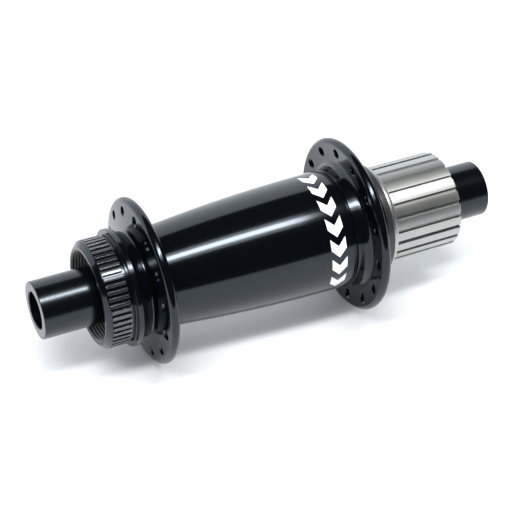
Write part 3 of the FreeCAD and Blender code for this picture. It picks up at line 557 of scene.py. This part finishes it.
body_low, body_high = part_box("freehub_body")
end_y = body_low.y / MM
FREEHUB_R = 15.94
BASE_R = (body_high.z - body_low.z) / 2 / MM
base_y = end_y + 25.1
BASE_WIDTH = 1.2
END_CHAMFER = 0.35
FREEHUB_SEGMENTS = 184       # a whole number of steps to each groove
NOSE_R = 14.4                # the part inside the hub shell, which carries the pawls
COG_THREAD_CREST_R = 13.0
RACE_SEAT_R = 12.0
CIRCLIP_GROOVE_R = 12.8
BETWEEN_SEATS_R = 10.9
PASSAGE_R = 9.6
nose_y = end_y + 36.7
groove_y = end_y + 6.8       # circlip groove, then the outer and inner bearing seats
outer_seat_y = groove_y + 1.2
outer_stop_y = outer_seat_y + 5.0
inner_stop_y = outer_stop_y + 7.0
inner_seat_y = inner_stop_y + 5.0
freehub = turned("freehub_body_turned", [
    (nose_y, PASSAGE_R, 0), (nose_y, NOSE_R, 0.2), (base_y + BASE_WIDTH, NOSE_R, 0),
    (base_y + BASE_WIDTH, BASE_R, 0.25), (base_y, BASE_R, 0.3), (base_y - 0.5, 16.5, 0.2),
    (base_y - 1.1, FREEHUB_R, 0.2), (end_y + END_CHAMFER, FREEHUB_R, 0.1),
    (end_y, FREEHUB_R - END_CHAMFER, 0.1), (end_y, COG_THREAD_CREST_R + THREAD_DEPTH, 0)]
    + thread_points(end_y, 1, COG_THREAD_CREST_R, 5) + [
    (end_y + 5.5, RACE_SEAT_R, 0), (groove_y, RACE_SEAT_R, 0), (groove_y, CIRCLIP_GROOVE_R, 0),
    (outer_seat_y, CIRCLIP_GROOVE_R, 0), (outer_seat_y, RACE_SEAT_R, 0), (outer_stop_y, RACE_SEAT_R, 0),
    (outer_stop_y, BETWEEN_SEATS_R, 0), (inner_stop_y, BETWEEN_SEATS_R, 0), (inner_stop_y, RACE_SEAT_R, 0),
    (inner_seat_y, RACE_SEAT_R, 0), (inner_seat_y, PASSAGE_R, 0)], FREEHUB_SEGMENTS)

GROOVES = 23
GROOVE_WIDTH = 1.42
GROOVE_DEPTH = 1.1
GROOVE_LENGTH = 23.7
CUTTER_HEIGHT = 2.0
CUTTER_RUN_OUT = 1.0         # how far the cutter starts beyond the end of the body
bpy.ops.object.select_all(action="DESELECT")
bpy.ops.mesh.primitive_cube_add(
    size=1, location=(0, (end_y + (GROOVE_LENGTH - CUTTER_RUN_OUT) / 2) * MM,
                      (FREEHUB_R - GROOVE_DEPTH + CUTTER_HEIGHT / 2) * MM),
    scale=(GROOVE_WIDTH * MM, (GROOVE_LENGTH + CUTTER_RUN_OUT) * MM, CUTTER_HEIGHT * MM))
mill = bpy.context.object
bpy.ops.object.transform_apply()
ring_of(mill, GROOVES)
cut(freehub, mill)

# pockets for the pawls and their springs: a round socket for each pivot, and a milled bay beside it
pawl_low, pawl_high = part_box("pawl_1")
pivot = (pawl_low.z + pawl_high.z) / 2
pocket_y = (pawl_low.y + pawl_high.y) / 2
PAWLS = 4
POCKET_CLEAR = 0.12
pocket_width = pawl_high.y - pawl_low.y + 2 * POCKET_CLEAR * MM
socket_r = (pawl_high.z - pawl_low.z) / 2 + POCKET_CLEAR * MM
bpy.ops.object.select_all(action="DESELECT")
bpy.ops.mesh.primitive_cylinder_add(vertices=32, radius=socket_r, depth=pocket_width,
                                    location=(0, pocket_y, pivot), rotation=(math.pi / 2, 0, 0))
socket = bpy.context.object
bpy.ops.object.transform_apply()
ring_of(socket, PAWLS)
cut(freehub, socket)
# a bay's corners: along the pawl from its pivot, then outwards from the pivot
BAY = ((-0.9, 3.0), (7.2, 3.0), (6.5, 0.3), (5.7, -1.5), (0.9, -2.05), (0.0, -1.5), (-0.9, 0.0))
corners = [Vector((along * MM, pocket_y - pocket_width / 2, pivot + out * MM)) for along, out in BAY]
bay = wire("pawl_bay", corners + corners[:1])
bpy.ops.mesh.edge_face_add()
bpy.ops.mesh.extrude_region_move(TRANSFORM_OT_translate={"value": (0, pocket_width, 0)})
bpy.ops.mesh.select_all(action="SELECT")
bpy.ops.mesh.normals_make_consistent(inside=False)
ring_of(bay, PAWLS)
cut(freehub, bay)
edges = freehub.modifiers.new("edges", "BEVEL")
edges.width = 0.09 * MM
edges.segments = 2
edges.limit_method = "ANGLE"
edges.angle_limit = math.radians(50)
only(freehub)
bpy.ops.object.modifier_apply(modifier=edges.name)
smooth(freehub, 35)
# satin machined alloy: bright but broken highlights with turning marks round the body
satin_alloy, shader = finish_named("satin_machined_alloy", [
    ("Base Color", linear("#b6b7b5")), ("Metallic", 1.0), ("Anisotropic", 0.5), ("Anisotropic Rotation", 0.25)])
turning_marks(satin_alloy, shader, 0.12, 0.0008, 0.46, 0.04)
round_body = add_node(satin_alloy, "ShaderNodeTangent", [("direction_type", "RADIAL"), ("axis", "Y")])
satin_alloy.node_tree.links.new(round_body.outputs[0], shader.inputs["Tangent"])
seat(freehub, "freehub", "freehub_satin_alloy", satin_alloy, "freehub_body")


# ---- freehub seal --------------------------------------------------------------------------------------
# A moulded rubber lip seal that sits on the freehub body and runs against the end of the hub shell.

seal_low, seal_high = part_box("freehub_seal")
seal_y = base_y + BASE_WIDTH
seal_r = (seal_high.z - seal_low.z) / 2 / MM
lip_y = drive_y - 0.15
seal = turned("freehub_seal_moulded", [
    (seal_y, 14.4, 0), (seal_y, seal_r, 0.3), (lip_y, seal_r, 0.35), (lip_y, 16.9, 0),
    (seal_high.y / MM, 16.6, 0), (seal_high.y / MM, 14.4, 0)])
smooth(seal)
# moulded dark grey rubber, wiped with grease: a low sheen over a soft grain
grey_rubber, shader = finish_named("moulded_grey_rubber", [("Base Color", linear("#26272a")), ("IOR", 1.52)])
turning_marks(grey_rubber, shader, 0.25, 0.003, 0.34, 0.06)
seat(seal, "freehub", "seal_grey_rubber", grey_rubber, "freehub_seal")


# ---- table, lights and camera --------------------------------------------------------------------------
# The hub lies on a pale table, touching it with both flanges. One long overhead softbox gives the thin bright
# line, a wide pale wall stands beyond the table, and the room behind the camera is dark.

RIM_MIDDLE = 1.6
disc_touch = Vector((0, disc_face_y - RIM_MIDDLE, -DISC_FLANGE["rim"])) * MM
drive_touch = Vector((0, drive_face_y + RIM_MIDDLE, -DRIVE_FLANGE["rim"])) * MM
slope = (disc_touch.z - drive_touch.z) / (disc_touch.y - drive_touch.y)
TABLE_FRONT, TABLE_SIDE, TABLE_BACK = 0.30, 1.6, 2.4
TABLE_TURN = -math.atan(0.36)
table_middle = (TABLE_BACK - TABLE_FRONT) / 2
table_z = disc_touch.z - slope * disc_touch.y - 0.1 * MM
bpy.ops.object.select_all(action="DESELECT")
bpy.ops.mesh.primitive_plane_add(
    size=1, location=(table_middle * math.cos(TABLE_TURN), table_middle * math.sin(TABLE_TURN), table_z),
    rotation=(0, 0, TABLE_TURN))
table = bpy.context.object
table.name = "table"
table.scale = (TABLE_FRONT + TABLE_BACK, 2 * TABLE_SIDE, 1)
bpy.ops.object.transform_apply()
for vertex in table.data.vertices:
    vertex.co.z += slope * vertex.co.y
# matt white laminate
pale_laminate, shader = finish_named("matt_pale_laminate",
                                     [("Base Color", linear("#ced0d2")), ("Roughness", 0.6)])
table.data.materials.append(pale_laminate)


def softbox(name, place, turn, size, radiance, tint="#ffffff"):
    """A rectangular light panel of a given radiance, which isn't seen by the camera itself."""
    bpy.ops.object.light_add(type="AREA", location=place, rotation=turn)
    panel = bpy.context.object
    panel.name = name
    panel.data.shape = "RECTANGLE"
    panel.data.size, panel.data.size_y = size
    panel.data.energy = radiance * math.pi * size[0] * size[1]
    panel.data.color = linear(tint)[:3]
    panel.visible_camera = False


STRIP_START, STRIP_END = -0.38, 0.85
STRIP_X, STRIP_Z = -0.38, 1.0
strip_y = (STRIP_START + STRIP_END) / 2
for name, width, radiance in (("strip_softbox", 0.16, 24), ("strip_glow", 0.40, 3.4)):
    softbox(name, (STRIP_X, strip_y, STRIP_Z + width * 0.01), (0, math.atan2(STRIP_X, STRIP_Z), 0),
            (width, STRIP_END - STRIP_START), radiance)
facing_hub = Vector((-1, 0, 0)).to_track_quat("-Z", "Y").to_euler()
softbox("far_wall", (1.5, 0, 0.95), facing_hub, (6.0, 2.0), 1.6, "#eef4fa")
world = bpy.data.worlds.new("studio")
bpy.context.scene.world = world
world.use_nodes = True
sky = world.node_tree.nodes["Background"]
sky.inputs["Color"].default_value = linear("#f8fafc")
path = add_node(world, "ShaderNodeLightPath", ())
glow = add_node(world, "ShaderNodeMapRange", [("To Min", 1.0), ("To Max", 0.035)],
                [("Value", path.outputs["Is Glossy Ray"])])
world.node_tree.links.new(glow.outputs[0], sky.inputs["Strength"])
bpy.context.scene.view_settings.view_transform = "Standard"

bpy.ops.object.camera_add(location=(-0.3937, 0.1911, 0.3163))
camera = bpy.context.object
sight = Vector((-0.0003, 0.0036, -0.0026)) - camera.location
camera.rotation_euler = sight.to_track_quat("-Z", "Y").to_euler()
camera.data.lens = 117.55
camera.data.sensor_width = 36.0
bpy.context.scene.camera = camera
